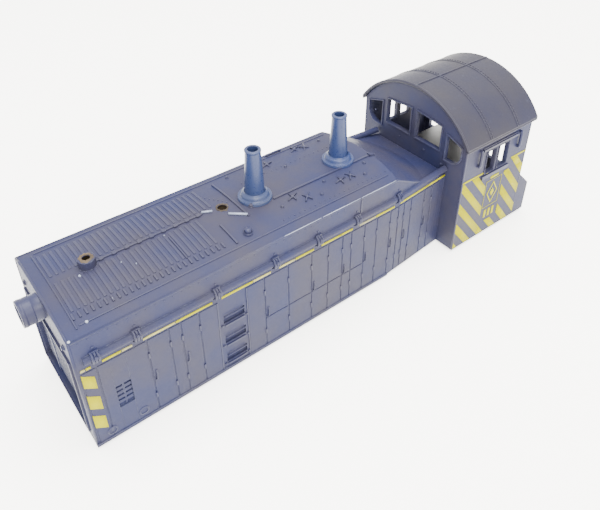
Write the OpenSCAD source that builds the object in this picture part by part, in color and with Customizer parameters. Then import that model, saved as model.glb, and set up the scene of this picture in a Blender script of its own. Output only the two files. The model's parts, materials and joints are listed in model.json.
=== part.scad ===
// Toy end-cab switcher locomotive: moulded hood and cab over a hidden two-truck chassis.
// +X is forward, +Y is the locomotive's left and +Z is up.
// z = 0 is the floor under the wheel flanges; x = 0 and y = 0 are the middle of the model.

/* [Hood] */
// Height of the hood's side walls
hood_h = 54; // [53:0.5:57]
// Width of the hood
hood_w = 51.5; // [51:0.5:56]
// Width of the hood where it meets the cab
hood_rear_w = 45.6; // [45:0.2:50]
// Rise of the hood roof's crown at the centre line
crown = 2.2; // [1.6:0.1:2.8]
// Drop from the roof edge to the front of the sloping deck
deck_drop = 9.8; // [9:0.1:11]
// Rise of the slope's crown at the centre line
slope_crown = 3.8; // [3:0.1:4.4]
// Thickness of the moulded walls
wall = 2; // [1.6:0.1:2.2]
// Height of the skirt above the floor
skirt_z = 1.6; // [1.2:0.1:3]

/* [Cab] */
// Length of the cab between its wall faces
cab_len = 48; // [47:1:50]
// Width of the cab over its side walls
cab_w = 66.4; // [64:0.2:68]
// Outer radius of the barrel roof
roof_r = 41; // [40.6:0.1:42]
// Width of the roof over its eaves
roof_w = 69.2; // [69:0.2:71]
// Thickness of the roof
roof_t = 1.4; // [1.2:0.1:1.8]

/* [Trim] */
// Height of the stacks above the floor
stack_top_z = 80.8; // [78:0.1:84]
// Radius of a stack at its foot
stack_r = 4.2; // [4:0.1:5]
// Radius of the headlight drum
lamp_r = 5; // [4.8:0.1:5.6]
// Height of the headlight's axis above the floor
lamp_z = 52.4; // [51.8:0.1:52.6]

/* [Trucks] */
// Distance between the axles of a truck
wheelbase = 46; // [46:0.5:47]
// Radius of a wheel's tread
tread_r = 10; // [9.8:0.1:10]
// Radius of a wheel's flange
flange_r = 11.2; // [11.2:0.1:11.4]
// Distance between the backs of two wheels on an axle
back_to_back = 28.5; // [28:0.1:28.8]
// Width of a wheel
wheel_w = 5; // [4.6:0.1:5]
// Distance of the power truck's pivot in front of the middle
power_x = 70; // [69:0.5:71]
// Distance of the pickup truck's pivot behind the middle
pickup_x = 72; // [71:0.5:73]

/* [Motor] */
// Radius of the motor can
can_r = 10.45; // [10:0.05:10.45]
// Height of the motor shaft above the axles
worm_lift = 10.5; // [10.5:0.1:11]
// Number of teeth on a worm wheel
gear_teeth = 18; // [14:1:24]

/* [Hidden] */
$fn = 64;

navy = [0.16, 0.21, 0.42];
steel = [0.6, 0.6, 0.62];
brass = [0.72, 0.58, 0.3];
black = [0.12, 0.12, 0.12];
copper = [0.72, 0.4, 0.22];

// Body stations along X
front_x = 115.5;
cab_back_x = -114;
cab_front_x = cab_back_x + cab_len;
slope_top_x = -30;
slope_foot_x = -48;
taper_x = -28.5;
nose_x = 122.9;

// Body heights
roof_z = skirt_z + hood_h;
crown_z = roof_z + crown;
deck_z = roof_z - deck_drop;
deck_rear_z = deck_z - 3.2;
crown_r = (pow(hood_w / 2, 2) + pow(crown, 2)) / (2 * crown);
slope_sag = slope_crown * (slope_top_x - slope_foot_x) / norm([slope_top_x - slope_foot_x, deck_drop]);
slope_r = (pow(hood_w / 2, 2) + pow(slope_sag, 2)) / (2 * slope_sag);
roof_axis_z = 39;
eave_z = 59.4;
wall_arch_r = roof_r - roof_t - 0.05;

// Stacks and roof fittings
stack_xs = [26.5, -18];
stack_foot_z = 60.6;
stack_flange_r = 7;
stack_peg_r = 2.6;
boss_pos = [96.5, -3];
boss_r = 3.2;
boss_h = 3.4;
boss_bore_r = 1.5;
lever_hole = [41, -2];
lever_hole_r = 2;

// Underframe and fastenings
plate_z = 36.5;
plate_t = 1.5;
plate_top = plate_z + plate_t;
plate_half = 22.4;
plate_rear_half = 15.5;
post_r = 3;
screw_r = 1;
pilot_r = 1.05;
head_r = 2.2;
head_h = 1.2;
hood_posts = [[108, 14], [108, -14], [-22, 17], [-22, -17]];
cab_posts = [[-108.8, 12], [-108.8, -12]];
ballast_x = [-14, 30];
ballast_half = 17;
ballast_bottom = 22;
ballast_screw_xs = [-9, 9];

// Trucks
axle_r = 2;
axle_z = flange_r;
axle_half = 18.2;
bush_gap = 0.05;
bush_r = 3.2;
wheel_back = back_to_back / 2;
frame_outer = 13;
frame_inner = 10.5;
axle_dx = wheelbase / 2;
boss_top = plate_z - 0.2;
kingpin_r = 3;
kingpin_gap = 0.06;
kingpin_head_r = 5.5;
shaft_z = axle_z + worm_lift;
shaft_r = 1.2;
worm_r = 3;
worm_len = 9;
gear_tip_r = worm_lift - worm_r - 0.4;
gear_root_r = gear_tip_r - 1.3;
cover_z = 2.4;
cover_t = 1.2;
frame_bottom = cover_z + cover_t;
cover_screws = [[12, 11.75], [12, -11.75], [-12, 11.75], [-12, -11.75]];

// Pickup arms: hinge pin and roller centre, measured from the truck's pivot
arm_pin = [5, 9.5];
arm_tip = [14.5, 3.5];
arm_pin_r = 0.8;
roller_r = 2.8;
roller_half = 5.5;

// Reversing unit
drum_pos = [19, 46];
drum_r = 4.2;
coil_x = 34;
coil_z = [40, 49.5];
plunger_r = 2.2;
lever_pivot = [46, 42];
lever_tip_z = 52.5;

// Extrudes a side-view outline, drawn in X and Z, symmetrically across Y
module across(width) {
    rotate([90, 0, 0])
        linear_extrude(width, center = true)
            children();
}

// Extrudes a front-view outline, drawn in Y and Z, along X from x0 to x1
module along(x0, x1) {
    translate([x0, 0, 0])
        rotate([90, 0, 90])
            linear_extrude(x1 - x0)
                children();
}

// Cylinder along X from x0 to x1 at the given y and z
module rod_x(x0, x1, r, y = 0, z = 0) {
    translate([x0, y, z])
        rotate([0, 90, 0])
            cylinder(h = x1 - x0, r = r);
}

// Cylinder along Y from y0 to y1 at the given x and z
module rod_y(y0, y1, r, x = 0, z = 0) {
    translate([x, y0, z])
        rotate([-90, 0, 0])
            cylinder(h = y1 - y0, r = r);
}

// Box between two corners
module block(a, b) {
    translate(a)
        cube(b - a);
}

// Rod with a ribbed surface: grooves of depth d every pitch, for worms and coil springs
module ribbed_rod(length, r, d, pitch, bore) {
    ribs = floor(length / pitch);
    outline = [for (i = [0 : ribs - 1], p = [[0.15, r], [0.45, r], [0.75, r - d], [0.95, r - d]])
        [p[1], (i + p[0]) * length / ribs]];
    rotate_extrude()
        polygon(concat([[bore, 0], [r - d, 0]], outline, [[r - d, length], [bore, length]]));
}

// Plan of the hood, which narrows towards the cab
module hood_plan(inset, x_rear) {
    half = hood_w / 2 - inset;
    taper = (hood_w - hood_rear_w) / 2 / (taper_x - cab_front_x);
    rear_half = half - taper * (taper_x - x_rear);
    polygon([[front_x - inset, half], [taper_x, half], [x_rear, rear_half],
        [x_rear, -rear_half], [taper_x, -half], [front_x - inset, -half]]);
}

// Hood block, shrunk by inset on every wall; it runs down to z0.
// The top is a level crown, a crowned slope and a flat falling deck.
module hood_block(inset, z0, x_rear) {
    angle = atan2(deck_drop, slope_top_x - slope_foot_x);
    deck_fall = (deck_z - deck_rear_z) / (slope_foot_x - cab_front_x);
    drop = inset * 1.03;
    intersection() {
        translate([0, 0, z0])
            linear_extrude(crown_z)
                hood_plan(inset, x_rear);
        rod_x(x_rear - 5, front_x + 5, crown_r - inset, 0, crown_z - crown_r);
        union() {
            translate([slope_top_x, 0, roof_z + slope_crown])
                rotate([0, -angle, 0])
                    rod_x(-90, 190, slope_r - inset, 0, -slope_r);
            across(hood_w + 10)
                polygon([[slope_top_x, z0], [slope_top_x, deck_z - drop], [slope_foot_x, deck_z - drop],
                    [x_rear, deck_rear_z - drop - deck_fall * (cab_front_x - x_rear)], [x_rear, z0]]);
        }
    }
}

// Half-round rail along one side of the hood, following its taper
module side_rail(side) {
    rail_r = 1.6;
    rail_z = skirt_z + 44;
    y = side * hood_w / 2;
    run = taper_x - cab_front_x;
    inward = (hood_w - hood_rear_w) / 2;
    angle = atan2(inward, run);
    rod_x(taper_x, front_x - 3, rail_r, y, rail_z);
    translate([taper_x + 1, y, rail_z])
        rotate([0, -90, side * angle])
            cylinder(h = run, r = rail_r - 0.1);
}

module hood_shell() color(navy) {
    difference() {
        union() {
            hood_block(0, skirt_z, cab_front_x);
            for (side = [-1, 1]) {
                side_rail(side);
                block([taper_x, side * hood_w / 2 - 0.5, skirt_z], [front_x, side * hood_w / 2 + 0.5, skirt_z + 1.5]);
            }
            translate([boss_pos[0], boss_pos[1], crown_z - 1])
                cylinder(h = boss_h + 1, r = boss_r);
        }
        hood_block(wall, -1, cab_front_x - 1);
        block([front_x - wall - 1, -grille_half, grille_z[0]], [front_x + 1, grille_half, grille_z[1]]);
        rod_x(front_x - wall - 1, front_x + 1, lamp_spigot_r, 0, lamp_z);
        for (x = stack_xs)
            translate([x, 0, roof_z - wall - 1])
                cylinder(h = 10, r = stack_peg_r);
        translate([boss_pos[0], boss_pos[1], roof_z - wall - 1])
            cylinder(h = 12, r = boss_bore_r);
        translate([lever_hole[0], lever_hole[1], roof_z - wall - 1])
            cylinder(h = 10, r = lever_hole_r);
        for (side = [-1, 1], z = [8, 18.5, 29.5])
            block([50.5, side * hood_w / 2 - 1.2, skirt_z + z - 3.5], [60, side * hood_w / 2 + 1.2, skirt_z + z + 1]);
        for (side = [-1, 1])
            block([98.8, side * hood_w / 2 - 0.6, skirt_z + 13.5], [104.5, side * hood_w / 2 + 0.6, skirt_z + 25]);
    }
    for (p = hood_posts)
        translate([p[0], p[1], plate_top])
            difference() {
                cylinder(h = roof_z - plate_top, r = post_r);
                translate([0, 0, -1])
                    cylinder(h = 9, r = pilot_r);
            }
}

grille_half = 21.5;
grille_z = [8, 43];
lamp_spigot_r = 3.7;

// Radiator grille insert, clipped in behind the front frame's opening
module radiator_grille() color(navy) {
    x0 = front_x - wall - 1.4;
    x1 = front_x - wall;
    difference() {
        block([x0, -grille_half - 1, grille_z[0] - 1], [x1, grille_half + 1, grille_z[1] + 1]);
        block([x0 - 1, -grille_half + 2, grille_z[0] + 2], [x1 + 1, grille_half - 2, grille_z[1] - 2]);
    }
    slats = 15;
    pitch = (grille_z[1] - grille_z[0] - 4) / slats;
    for (i = [0 : slats - 1])
        block([x0, -grille_half + 1, grille_z[0] + 2 + (i + 0.2) * pitch],
            [x1 + 0.6, grille_half - 1, grille_z[0] + 2 + (i + 0.75) * pitch]);
    for (y = [-10, 10])
        block([x0, y - 1, grille_z[0]], [x1 + 0.9, y + 1, grille_z[1]]);
}

// Front cab windows, drawn in Y and Z for the left half
module front_windows_2d() {
    polygon([[1.9, 52.6], [17.4, 52.6], [17.4, 65.4], [1.9, 66.9]]);
    difference() {
        polygon([[21, 49.4], [30, 49.4], [30, 59.8], [21, 62.8]]);
        difference() {
            translate([24, 48.4])
                square([7, 7]);
            translate([24, 55.4])
                circle(6);
        }
    }
}

// Rear cab windows and half of the door window, drawn in Y and Z for the left half
module rear_windows_2d() {
    translate([13, 28.6])
        square([15, 24]);
    translate([-0.1, 41])
        square([5.1, 11.6]);
}

module cab_shell() color(navy) {
    half = cab_w / 2;
    difference() {
        union() {
            block([cab_back_x, -half, skirt_z], [cab_front_x, half, roof_axis_z]);
            intersection() {
                block([cab_back_x, -half, roof_axis_z], [cab_front_x, half, roof_axis_z + roof_r]);
                rod_x(cab_back_x, cab_front_x, wall_arch_r, 0, roof_axis_z);
            }
        }
        block([cab_back_x + wall, -half + wall, -1], [cab_front_x - wall, half - wall, roof_axis_z + roof_r]);
        block([cab_front_x - wall - 1, -hood_rear_w / 2 + wall, -1],
            [cab_front_x + 1, hood_rear_w / 2 - wall, deck_rear_z - wall * 1.13]);
        for (side = [0, 1])
            mirror([0, side, 0]) {
                along(cab_front_x - wall - 1, cab_front_x + 1)
                    front_windows_2d();
                along(cab_back_x - 1, cab_back_x + wall + 1)
                    rear_windows_2d();
                block([-88, half - wall - 1, 41.2], [-81.5, half + 1, 53.6]);
                block([-97.5, half - wall - 1, 41.2], [-90.5, half + 1, 53.6]);
            }
    }
    for (p = cab_posts)
        difference() {
            union() {
                translate([p[0], p[1], plate_top])
                    cylinder(h = 8, r = post_r);
                block([cab_back_x + wall - 0.5, p[1] - 1, plate_top], [p[0] - post_r + 0.5, p[1] + 1, plate_top + 8]);
            }
            translate([p[0], p[1], plate_top - 1])
                cylinder(h = 7, r = pilot_r);
        }
}

module cab_roof() color(navy) {
    x0 = cab_back_x - 1.5;
    x1 = cab_front_x + 1.4;
    intersection() {
        difference() {
            rod_x(x0, x1, roof_r, 0, roof_axis_z);
            rod_x(x0 - 1, x1 + 1, roof_r - roof_t, 0, roof_axis_z);
        }
        block([x0 - 1, -roof_w / 2, eave_z], [x1 + 1, roof_w / 2, roof_axis_z + roof_r + 1]);
    }
}

// Tool box across the back of the cab, with a sloping lid, open at the front and below
module rear_toolbox() color(navy) {
    half = cab_w / 2;
    t = 1.6;
    rear = -nose_x;
    lid_front_z = skirt_z + 25.5;
    lid_rear_z = skirt_z + 17;
    difference() {
        across(cab_w)
            polygon([[cab_back_x, skirt_z], [cab_back_x, lid_front_z], [rear, lid_rear_z], [rear, skirt_z]]);
        across(cab_w - 2 * t)
            polygon([[cab_back_x + 1, -1], [cab_back_x + 1, lid_front_z - t + 0.9], [rear + t, lid_rear_z - t * 0.6], [rear + t, -1]]);
    }
}

module stack(x) color(navy) {
    bore_r = 2.2;
    mouth_r = 3.1;
    translate([x, 0, 0])
        difference() {
            union() {
                translate([0, 0, crown_z])
                    cylinder(h = 1, r = stack_flange_r);
                translate([0, 0, crown_z + 1])
                    cylinder(h = stack_foot_z - crown_z - 1, r1 = stack_flange_r - 0.8, r2 = stack_r + 0.3);
                translate([0, 0, stack_foot_z])
                    cylinder(h = stack_top_z - stack_foot_z, r1 = stack_r, r2 = mouth_r);
                translate([0, 0, roof_z - wall - 1.5])
                    cylinder(h = 6, r = stack_peg_r);
            }
            translate([0, 0, stack_top_z - 14])
                cylinder(h = 15, r = bore_r);
        }
}

module headlight_housing() color(navy) {
    difference() {
        union() {
            rod_x(front_x, front_x + 1.6, lamp_spigot_r + 0.7, 0, lamp_z);
            translate([front_x + 1.6, 0, lamp_z])
                rotate([0, 90, 0])
                    cylinder(h = 1.6, r1 = lamp_spigot_r + 0.7, r2 = lamp_r);
            rod_x(front_x + 3.2, nose_x, lamp_r, 0, lamp_z);
            rod_x(front_x - wall - 0.9, front_x + 1, lamp_spigot_r, 0, lamp_z);
        }
        rod_x(front_x - wall - 3, nose_x - 4, 2.8, 0, lamp_z);
        rod_x(nose_x - 4.1, nose_x + 1, lamp_r - 1.1, 0, lamp_z);
    }
}

module headlight_lens() color([0.9, 0.92, 0.95]) {
    dome_r = 14;
    lens_r = lamp_r - 1.1;
    intersection() {
        rod_x(nose_x - 2.6, nose_x, lens_r, 0, lamp_z);
        translate([nose_x - 0.6 - dome_r, 0, lamp_z])
            sphere(dome_r, $fn = 96);
    }
}

module lamp_bulb() color([0.95, 0.9, 0.75]) {
    rod_x(106, 112, 2.2, 0, lamp_z);
    translate([112, 0, lamp_z])
        sphere(2.2);
}

module lamp_socket() color(brass) {
    difference() {
        rod_x(100, 107, 2.9, 0, lamp_z);
        rod_x(106, 108, 2.3, 0, lamp_z);
    }
}

module lamp_bracket() color(steel) {
    difference() {
        union() {
            block([94.5, -5, plate_top], [104, 5, plate_top + 1]);
            block([101.5, -5, plate_top], [103, 5, roof_z - 0.05]);
        }
        rod_x(101, 104, 2.9, 0, lamp_z);
    }
}

// Lamp wire from the socket down to the underframe and back to the reversing unit
wire_r = 0.5;
wire_route = [[100, 0, 52.4], [97.5, 0, 52.4], [95, 3, 49], [92, 9, 42], [88, 11, 38.6], [70, 11, 38.6], [54, 11, 38.6],
    [46, 10, 40.5], [38.6, 4.9, 44]];

module lamp_wire() color(black) {
    for (i = [0 : len(wire_route) - 2]) {
        a = wire_route[i];
        d = wire_route[i + 1] - a;
        translate(a)
            rotate([0, acos(d[2] / norm(d)), atan2(d[1], d[0])])
                cylinder(h = norm(d), r = wire_r);
        if (i > 0)
            translate(a)
                sphere(wire_r * 1.25, $fn = 24);
    }
}

module underframe() color(steel) {
    front_end = front_x - 5;
    rear_end = cab_back_x + wall + 0.6;
    difference() {
        translate([0, 0, plate_z])
            linear_extrude(plate_t)
                polygon([[front_end, plate_half], [slope_top_x, plate_half], [cab_front_x + 2, plate_rear_half],
                    [rear_end, plate_rear_half], [rear_end, -plate_rear_half], [cab_front_x + 2, -plate_rear_half],
                    [slope_top_x, -plate_half], [front_end, -plate_half]]);
        for (x = [power_x, -pickup_x])
            translate([x, 0, plate_z - 1])
                cylinder(h = plate_t + 2, r = kingpin_r + kingpin_gap);
        for (p = concat(hood_posts, cab_posts, [for (x = ballast_screw_xs) [x, 0]]))
            translate([p[0], p[1], plate_z - 1])
                cylinder(h = plate_t + 2, r = screw_r + 0.3);
    }
}

// Pan-head screw with its head's seat at z = 0 and its shank pointing up
module screw(length) {
    difference() {
        translate([0, 0, -head_h])
            cylinder(h = head_h, r = head_r);
        translate([-head_r, -0.3, -head_h - 0.1])
            cube([2 * head_r, 0.6, 0.6]);
    }
    cylinder(h = length, r = screw_r);
}

module body_screws() color(steel) {
    for (p = concat(hood_posts, cab_posts))
        translate([p[0], p[1], plate_z])
            screw(6.5);
}

module ballast_block() color([0.4, 0.4, 0.42]) {
    difference() {
        block([ballast_x[0], -ballast_half, ballast_bottom], [ballast_x[1], ballast_half, plate_z]);
        for (x = ballast_screw_xs)
            translate([x, 0, plate_z - 8])
                cylinder(h = 9, r = pilot_r);
    }
}

module ballast_screws() color(steel) {
    for (x = ballast_screw_xs)
        translate([x, 0, plate_top])
            mirror([0, 0, 1])
                screw(8);
}

// Reversing unit: solenoid, ratchet drum and lock-out lever on a folded frame
module reverser_frame() color(steel) {
    difference() {
        union() {
            block([14, -9, plate_top], [50, 9, plate_top + 1]);
            for (side = [-1, 1])
                block([15, side * 8.5 - 0.5, plate_top], [23, side * 8.5 + 0.5, 49]);
            for (y = [-5, 1])
                block([44, y - 0.5, plate_top], [48, y + 0.5, 44]);
        }
        rod_y(-10, 10, 1.06, drum_pos[0], drum_pos[1]);
        rod_y(-6, 2, 0.86, lever_pivot[0], lever_pivot[1]);
    }
}

module reverser_coil() color(copper) {
    translate([coil_x, 0, 0])
        difference() {
            union() {
                translate([0, 0, plate_top + 1])
                    cylinder(h = 1, r = 7.2);
                translate([0, 0, coil_z[0]])
                    cylinder(h = coil_z[1] - coil_z[0] - 1, r = 6.4);
                translate([0, 0, coil_z[1] - 1])
                    cylinder(h = 1, r = 7.2);
            }
            translate([0, 0, plate_top])
                cylinder(h = 14, r = plunger_r + 0.08);
        }
}

module reverser_plunger() color(steel)
    translate([coil_x, 0, plate_top + 1.3])
        cylinder(h = 9, r = plunger_r);

module reverser_drum() color([0.75, 0.72, 0.6]) {
    difference() {
        rod_y(-7, 7, drum_r, drum_pos[0], drum_pos[1]);
        for (i = [0 : 7])
            translate([drum_pos[0], 0, drum_pos[1]])
                rotate([0, i * 45, 0])
                    block([drum_r - 0.9, -1.5, -0.6], [drum_r + 1, 1.5, 0.6]);
    }
    rod_y(-9, 9, 1, drum_pos[0], drum_pos[1]);
}

module reverser_lever() color(brass) {
    reach = [lever_hole[0] - lever_pivot[0], lever_tip_z - lever_pivot[1]];
    difference() {
        union() {
            rod_y(-4, 0, 1.8, lever_pivot[0], lever_pivot[1]);
            translate([lever_pivot[0], -2, lever_pivot[1]])
                rotate([0, atan2(reach[0], reach[1]), 0])
                    block([-0.8, -1, 0], [0.8, 1, norm(reach)]);
        }
        rod_y(-6, 2, 0.4, lever_pivot[0], lever_pivot[1]);
    }
    rod_y(-5.5, 1.5, 0.8, lever_pivot[0], lever_pivot[1]);
}

// Flanged wheel in its own frame: back face at y = 0, tread towards +Y
module wheel() {
    flange_w = 1.3;
    rotate([-90, 0, 0])
        rotate_extrude()
            polygon([[axle_r, 0], [flange_r - 0.5, 0], [flange_r, 0.5], [flange_r - 0.3, flange_w - 0.2],
                [tread_r + 0.1, flange_w + 0.2], [tread_r - 0.1, wheel_w], [tread_r - 1.6, wheel_w],
                [tread_r - 2.2, wheel_w - 1.4], [4.4, wheel_w - 1.4], [3.6, wheel_w - 0.2], [axle_r, wheel_w - 0.2]]);
}

module wheel_on(x, side) color(steel)
    translate([x, side * wheel_back, axle_z])
        mirror([0, side < 0 ? 1 : 0, 0])
            wheel();

module axle_on(x) color(steel)
    rod_y(-axle_half, axle_half, axle_r, x, axle_z);

// Worm wheel on an axle
module gear_on(x) color(brass) {
    step = 360 / gear_teeth;
    outline = [for (i = [0 : gear_teeth - 1], p = [[-0.32, gear_root_r], [-0.16, gear_tip_r], [0.16, gear_tip_r], [0.32, gear_root_r]])
        p[1] * [cos((i + p[0]) * step), sin((i + p[0]) * step)]];
    translate([x, 0, axle_z])
        rotate([90, 0, 0])
            difference() {
                union() {
                    linear_extrude(5, center = true)
                        polygon(outline);
                    cylinder(h = 8, r = 3.6, center = true);
                }
                cylinder(h = 10, r = axle_r, center = true);
            }
}

// Bearing bushes of one truck, four separate tubes with thrust flanges
module bushes(x) color(brass) {
    for (dx = [-axle_dx, axle_dx], side = [0, 1])
        mirror([0, side, 0])
            difference() {
                union() {
                    rod_y(frame_inner, frame_outer, bush_r, x + dx, axle_z);
                    rod_y(frame_outer, frame_outer + 0.6, bush_r + 1, x + dx, axle_z);
                }
                rod_y(frame_inner - 1, frame_outer + 2, axle_r + bush_gap, x + dx, axle_z);
            }
}

// Side plates of a truck, bored for the bushes
module truck_sides(x, half_len, z0, z1) {
    for (side = [-1, 1])
        difference() {
            block([x - half_len, side * (frame_outer + frame_inner) / 2 - 1.25, z0],
                [x + half_len, side * (frame_outer + frame_inner) / 2 + 1.25, z1]);
            for (dx = [-axle_dx, axle_dx])
                rod_y(-frame_outer - 1, frame_outer + 1, bush_r, x + dx, axle_z);
        }
}

module power_truck_frame() color(black) {
    difference() {
        union() {
            truck_sides(power_x, 33, frame_bottom, 33);
            block([power_x - 20, -frame_outer, 33], [power_x + 20, frame_outer, 35]);
            translate([power_x, 0, 35])
                cylinder(h = boss_top - 35, r = 8);
            for (side = [-1, 1])
                block([power_x + side * 32 - 1, -frame_inner - 0.5, 15], [power_x + side * 32 + 1, frame_inner + 0.5, 30]);
        }
        translate([power_x, 0, 32])
            cylinder(h = 6, r = kingpin_r);
        rod_x(power_x - 34, power_x + 34, shaft_r + 0.06, 0, shaft_z);
        for (p = cover_screws)
            translate([power_x + p[0], p[1], frame_bottom - 1])
                cylinder(h = 5, r = 0.6);
    }
}

module kingpin(x, foot) color(steel) {
    translate([x, 0, foot])
        cylinder(h = plate_top + 0.2 - foot, r = kingpin_r);
    difference() {
        translate([x, 0, plate_top + 0.2])
            cylinder(h = 1.8, r = kingpin_head_r);
        block([x - 7, -0.5, plate_top + 1.2], [x + 7, 0.5, plate_top + 3]);
    }
}

module gear_cover() color(black) {
    difference() {
        block([power_x - 31, -frame_outer, cover_z], [power_x + 31, frame_outer, cover_z + cover_t]);
        for (p = cover_screws)
            translate([power_x + p[0], p[1], cover_z - 1])
                cylinder(h = 4, r = 0.6);
    }
}

module gear_cover_screws() color(steel) {
    for (p = cover_screws)
        translate([power_x + p[0], p[1], cover_z]) {
            cylinder(h = 4, r = 0.6);
            translate([0, 0, -0.5])
                cylinder(h = 0.5, r = 1.1);
        }
}

// Motor: a can with two magnets inside, closed by an end cap that carries the brushes
module motor_can() color(steel) {
    translate([power_x, 0, 0])
        difference() {
            rod_x(-12, 13, can_r, 0, shaft_z);
            rod_x(-13, 12, can_r - 0.7, 0, shaft_z);
            rod_x(10, 14, shaft_r + 0.06, 0, shaft_z);
        }
}

module motor_magnets() color([0.3, 0.3, 0.32]) {
    translate([power_x, 0, 0])
        difference() {
            rod_x(-7.5, 8, can_r - 0.7, 0, shaft_z);
            rod_x(-8, 9, can_r - 1.85, 0, shaft_z);
            block([-9, -can_r, shaft_z - 2.5], [10, can_r, shaft_z + 2.5]);
        }
}

module motor_end_cap() color([0.85, 0.85, 0.8]) {
    translate([power_x, 0, 0])
        difference() {
            union() {
                rod_x(-14, -12, can_r, 0, shaft_z);
                for (side = [-1, 1])
                    block([-12, side * 6.4 - 0.6, shaft_z - 1.5], [-9.8, side * 6.4 + 0.6, shaft_z + 1.5]);
            }
            rod_x(-15, -11, shaft_r + 0.06, 0, shaft_z);
        }
}

module motor_brushes() color([0.25, 0.22, 0.2]) {
    translate([power_x, 0, 0])
        for (side = [-1, 1])
            block([-11.8, side * 4.35 - 1.45, shaft_z - 1], [-10, side * 4.35 + 1.45, shaft_z + 1]);
}

module armature_core() color(copper) {
    core_r = 8;
    poles = 5;
    translate([power_x, 0, 0])
        difference() {
            union() {
                difference() {
                    rod_x(-6, 7, core_r, 0, shaft_z);
                    for (i = [0 : poles - 1])
                        translate([0, 0, shaft_z])
                            rotate([i * 360 / poles, 0, 0])
                                block([-7, -0.8, 4], [8, 0.8, core_r + 1]);
                }
                rod_x(-8.5, 9, 6, 0, shaft_z);
                rod_x(-12, -8, 2.6, 0, shaft_z);
            }
            rod_x(-13, 10, shaft_r, 0, shaft_z);
        }
}

module motor_shaft() color(steel)
    rod_x(power_x - 32.6, power_x + 32.6, shaft_r, 0, shaft_z);

module worm_on(dx) color(brass)
    translate([power_x + dx - worm_len / 2, 0, shaft_z])
        rotate([0, 90, 0])
            ribbed_rod(worm_len, worm_r, 0.9, 1.8, shaft_r);

module pickup_truck_frame() color(black) {
    difference() {
        union() {
            truck_sides(-pickup_x, 29, 6, 24);
            block([-pickup_x - 12, -frame_outer, 22], [-pickup_x + 12, frame_outer, 24]);
            translate([-pickup_x, 0, 24])
                cylinder(h = boss_top - 24, r = 7);
        }
        translate([-pickup_x, 0, 21])
            cylinder(h = 18, r = kingpin_r);
    }
}

// Insulating plate across the pickup truck, with ears for the arm pins
module pickup_plate() color([0.45, 0.3, 0.18]) {
    translate([-pickup_x, 0, 0])
        difference() {
            union() {
                block([-10, -frame_inner, 13], [10, frame_inner, 15]);
                for (sx = [-1, 1], sy = [-1, 1])
                    block([sx * arm_pin[0] - 2, sy * 9 - 0.8, arm_pin[1] - 2], [sx * arm_pin[0] + 2, sy * 9 + 0.8, 13]);
            }
            for (sx = [-1, 1])
                rod_y(-11, 11, arm_pin_r, sx * arm_pin[0], arm_pin[1]);
        }
}

module pickup_pins() color(steel) {
    for (sx = [-1, 1])
        rod_y(-10.2, 10.2, arm_pin_r, -pickup_x + sx * arm_pin[0], arm_pin[1]);
}

module pickup_springs() color(steel) {
    for (sx = [-1, 1])
        translate([-pickup_x + sx * arm_pin[0], -4, arm_pin[1]])
            rotate([-90, 0, 0])
                ribbed_rod(8, 1.8, 0.35, 0.9, arm_pin_r);
}

// Hinged pickup arm: two cheeks, a bridge and the roller's pin; dir is +1 at the front
module pickup_arm(dir) color(copper) {
    d = arm_tip - arm_pin;
    angle = atan2(d[1], d[0]);
    translate([-pickup_x, 0, 0])
        mirror([dir < 0 ? 1 : 0, 0, 0]) {
            for (side = [-1, 1])
                difference() {
                    union() {
                        rod_y(side * 6.6 - 0.6, side * 6.6 + 0.6, 1.7, arm_pin[0], arm_pin[1]);
                        rod_y(side * 6.6 - 0.6, side * 6.6 + 0.6, 1.6, arm_tip[0], arm_tip[1]);
                        translate([arm_pin[0], side * 6.6, arm_pin[1]])
                            rotate([0, -angle, 0])
                                block([0, -0.6, -1.2], [norm(d), 0.6, 1.2]);
                    }
                    rod_y(side * 6.6 - 2, side * 6.6 + 2, arm_pin_r + 0.06, arm_pin[0], arm_pin[1]);
                }
            translate([arm_pin[0], 0, arm_pin[1]])
                rotate([0, -angle, 0])
                    block([3.2, -6.2, 0], [5.2, 6.2, 1]);
            rod_y(-7.2, 7.2, 0.7, arm_tip[0], arm_tip[1]);
        }
}

module pickup_roller(dir) color(steel)
    translate([-pickup_x + dir * arm_tip[0], 0, arm_tip[1]])
        rotate([90, 0, 0])
            difference() {
                union() {
                    cylinder(h = 2 * roller_half, r = roller_r - 0.3, center = true);
                    cylinder(h = 2 * roller_half - 3, r = roller_r, center = true);
                }
                cylinder(h = 20, r = 0.76, center = true);
            }

hood_shell();
cab_shell();
cab_roof();
rear_toolbox();
radiator_grille();
stack(stack_xs[0]);  // stack_front
stack(stack_xs[1]);  // stack_rear
headlight_housing();
headlight_lens();
lamp_bulb();
lamp_socket();
lamp_bracket();
lamp_wire();
underframe();
body_screws();
ballast_block();
ballast_screws();
reverser_frame();
reverser_coil();
reverser_plunger();
reverser_drum();
reverser_lever();
power_truck_frame();
kingpin(power_x, 33.2);  // power_truck_kingpin
gear_cover();
gear_cover_screws();
bushes(power_x);  // drive_axle_bushes
motor_can();
motor_magnets();
motor_end_cap();
motor_brushes();
armature_core();
motor_shaft();
worm_on(axle_dx);  // worm_front
worm_on(-axle_dx);  // worm_rear
axle_on(power_x + axle_dx);  // drive_axle_front
gear_on(power_x + axle_dx);  // drive_gear_front
wheel_on(power_x + axle_dx, 1);  // drive_wheel_front_left
wheel_on(power_x + axle_dx, -1);  // drive_wheel_front_right
axle_on(power_x - axle_dx);  // drive_axle_rear
gear_on(power_x - axle_dx);  // drive_gear_rear
wheel_on(power_x - axle_dx, 1);  // drive_wheel_rear_left
wheel_on(power_x - axle_dx, -1);  // drive_wheel_rear_right
pickup_truck_frame();
kingpin(-pickup_x, 24);  // pickup_truck_kingpin
bushes(-pickup_x);  // pickup_axle_bushes
pickup_plate();
pickup_pins();
pickup_springs();
axle_on(-pickup_x + axle_dx);  // pickup_axle_front
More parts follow.
